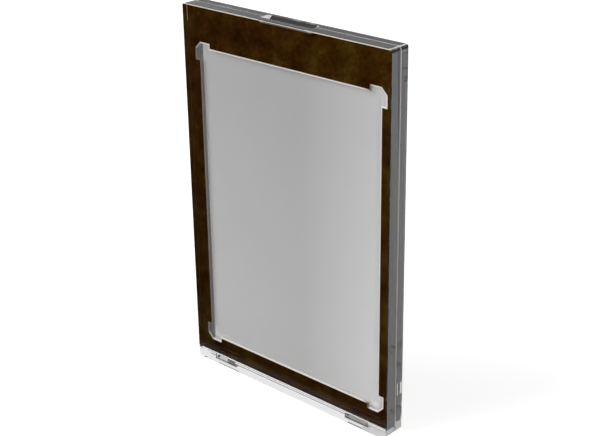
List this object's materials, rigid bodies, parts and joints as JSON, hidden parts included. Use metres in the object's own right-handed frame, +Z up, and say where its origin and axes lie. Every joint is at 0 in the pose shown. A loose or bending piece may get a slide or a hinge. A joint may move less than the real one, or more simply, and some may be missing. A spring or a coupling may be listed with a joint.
{
  "type": "trading card display case",
  "caption": "Clear magnetic display case for one trading card, with a printed border and a front cover that tilts open on its bottom rail.",
  "frame": {"origin": "middle of the rail's underside, which the case stands on", "axes": "+X to the right as seen from the front, +Y from the front cover to the back cover, +Z up"},
  "size_m": [0.073, 0.0068, 0.1093],
  "materials": {
    "clear_acrylic": "polished clear acrylic",
    "border_print": "mottled dark brown print on thin plastic sheet",
    "backing_card": "smooth neutral grey sheet",
    "nickel_plate": "nickel-plated magnet",
    "adhesive_film": "thin clear adhesive"
  },
  "bodies": {
    "back_half": {"back_cover": "clear_acrylic", "backing_sheet": "backing_card", "rear_magnet": "nickel_plate", "rear_magnet_adhesive": "adhesive_film"},
    "front_half": {"front_cover": "clear_acrylic", "border_sheet": "border_print", "front_magnet": "nickel_plate", "front_magnet_adhesive": "adhesive_film"}
  },
  "joints": [
    {"name": "front_tilt", "type": "hinge", "parent": "back_half", "child": "front_half", "pos_m": [0, -0.0028, 0.0039], "axis": [1, 0, 0], "range_deg": [0, 35]}
  ]
}
